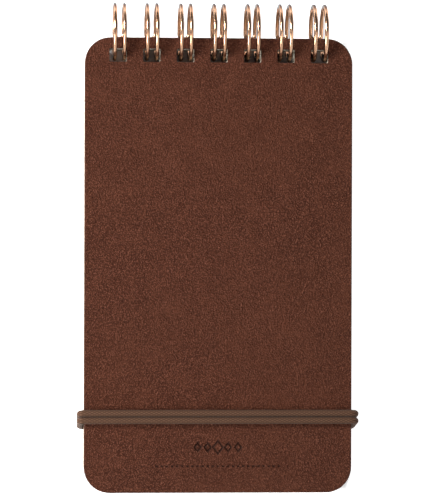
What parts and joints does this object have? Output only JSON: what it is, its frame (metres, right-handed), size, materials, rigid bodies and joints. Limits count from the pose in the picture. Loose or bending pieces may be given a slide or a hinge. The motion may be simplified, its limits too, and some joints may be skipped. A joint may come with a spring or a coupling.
{
  "type": "pocket notebook",
  "caption": "Small top-bound notebook: two grained covers and loose sheets on a double-loop wire, held shut by an elastic cord.",
  "frame": {"origin": "on the table plane that the loops touch, at the middle of the whole object's outline", "axes": "+X to the right across the front cover, +Y towards the wire binding, +Z out of the front cover"},
  "size_m": [0.071, 0.1234, 0.0147],
  "materials": {
    "cover_skin": "dark red-brown grained artificial leather, satin",
    "cover_board": "pressed grey-brown board",
    "cover_lining": "matt brown end paper",
    "sheet": "uncoated cream writing paper",
    "binding_wire": "bright copper-coloured plated wire",
    "elastic_cord": "brown knitted cover over rubber",
    "anchor_plate": "thin pressed plate"
  },
  "bodies": {
    "back_cover": {"back_cover_skin": "cover_skin", "back_cover_board": "cover_board", "back_cover_lining": "cover_lining", "elastic_anchor_left": "anchor_plate", "elastic_anchor_right": "anchor_plate", "binding_wire": "binding_wire"},
    "rear_sheets": {"rear_sheet_01": "sheet", "rear_sheet_02": "sheet", "rear_sheet_03": "sheet", "rear_sheet_04": "sheet", "rear_sheet_05": "sheet", "rear_sheet_06": "sheet", "rear_sheet_07": "sheet", "rear_sheet_08": "sheet", "rear_sheet_09": "sheet", "rear_sheet_10": "sheet", "rear_sheet_11": "sheet", "rear_sheet_12": "sheet", "rear_sheet_13": "sheet", "rear_sheet_14": "sheet"},
    "middle_sheets": {"middle_sheet_01": "sheet", "middle_sheet_02": "sheet", "middle_sheet_03": "sheet", "middle_sheet_04": "sheet", "middle_sheet_05": "sheet", "middle_sheet_06": "sheet", "middle_sheet_07": "sheet", "middle_sheet_08": "sheet", "middle_sheet_09": "sheet", "middle_sheet_10": "sheet", "middle_sheet_11": "sheet", "middle_sheet_12": "sheet", "middle_sheet_13": "sheet", "middle_sheet_14": "sheet"},
    "front_sheets": {"front_sheet_01": "sheet", "front_sheet_02": "sheet", "front_sheet_03": "sheet", "front_sheet_04": "sheet", "front_sheet_05": "sheet", "front_sheet_06": "sheet", "front_sheet_07": "sheet", "front_sheet_08": "sheet", "front_sheet_09": "sheet", "front_sheet_10": "sheet", "front_sheet_11": "sheet", "front_sheet_12": "sheet", "front_sheet_13": "sheet", "front_sheet_14": "sheet"},
    "front_cover": {"front_cover_skin": "cover_skin", "front_cover_board": "cover_board", "front_cover_lining": "cover_lining"},
    "elastic_band": {"elastic_upper_cord": "elastic_cord", "elastic_lower_cord": "elastic_cord"}
  },
  "joints": [
    {"name": "rear_sheets_turn", "type": "hinge", "parent": "back_cover", "child": "rear_sheets", "pos_m": [0, 0.05437, 0.00735], "axis": [-1, 0, 0], "range_deg": [0, 15]},
    {"name": "middle_sheets_turn", "type": "hinge", "parent": "rear_sheets", "child": "middle_sheets", "pos_m": [0, 0.05437, 0.00735], "axis": [-1, 0, 0], "range_deg": [0, 15]},
    {"name": "front_sheets_turn", "type": "hinge", "parent": "middle_sheets", "child": "front_sheets", "pos_m": [0, 0.05437, 0.00735], "axis": [-1, 0, 0], "range_deg": [0, 15]},
    {"name": "front_cover_turn", "type": "hinge", "parent": "front_sheets", "child": "front_cover", "pos_m": [0, 0.05437, 0.00735], "axis": [-1, 0, 0], "range_deg": [0, 180]},
    {"name": "elastic_pull", "type": "slide", "parent": "back_cover", "child": "elastic_band", "axis": [0, -1, 0], "range_m": [0, 0.024], "deforming": ["elastic_upper_cord", "elastic_lower_cord"]}
  ]
}
